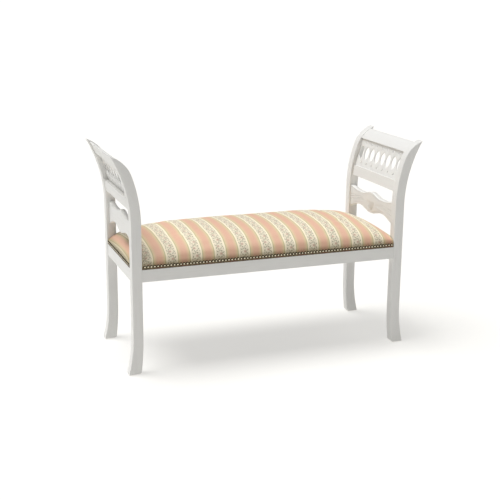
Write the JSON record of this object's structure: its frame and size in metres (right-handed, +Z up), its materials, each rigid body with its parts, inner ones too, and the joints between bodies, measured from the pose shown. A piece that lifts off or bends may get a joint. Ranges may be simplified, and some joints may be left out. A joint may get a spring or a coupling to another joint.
{
  "type": "piano bench",
  "caption": "Upholstered piano bench with out-scrolled arms, pierced arm galleries, serpentine splats, sabre feet and a nailed, striped domed seat.",
  "frame": {"origin": "centre of the footprint, on the floor", "axes": "+X along the bench towards the right arm as seen from the front, -Y towards the front, +Z up"},
  "size_m": [1.146, 0.421, 0.765],
  "materials": {
    "white_paint": "satin white lacquer on beech",
    "raw_beech": "unfinished, sanded",
    "zinc_steel": "zinc plated",
    "antique_bronze": "antiqued, polished high spots",
    "glide_plastic": "matt moulded nylon",
    "jute_webbing": "woven jute",
    "foam": "open-cell polyurethane foam",
    "striped_damask": "striped woven damask, satin stripes",
    "dust_cloth": "black non-woven cloth"
  },
  "bodies": {
    "root": {"front_left_post": "white_paint", "front_right_post": "white_paint", "rear_left_post": "white_paint", "rear_right_post": "white_paint", "front_seat_rail": "white_paint", "rear_seat_rail": "white_paint", "left_seat_rail": "white_paint", "right_seat_rail": "white_paint", "left_crest_rail": "white_paint", "right_crest_rail": "white_paint", "left_gallery": "white_paint", "right_gallery": "white_paint", "left_middle_rail": "white_paint", "right_middle_rail": "white_paint", "left_splat": "white_paint", "right_splat": "white_paint", "corner_blocks": "raw_beech", "seat_frame_front": "raw_beech", "seat_frame_rear": "raw_beech", "seat_frame_left": "raw_beech", "seat_frame_right": "raw_beech", "corner_block_screws": "zinc_steel", "seat_fixing_screws": "zinc_steel", "foot_glides": "glide_plastic", "seat_webbing": "jute_webbing", "seat_foam": "foam", "seat_cover": "striped_damask", "dust_cover": "dust_cloth", "front_nails": "antique_bronze", "rear_nails": "antique_bronze", "left_nails": "antique_bronze", "right_nails": "antique_bronze"}
  },
  "joints": []
}
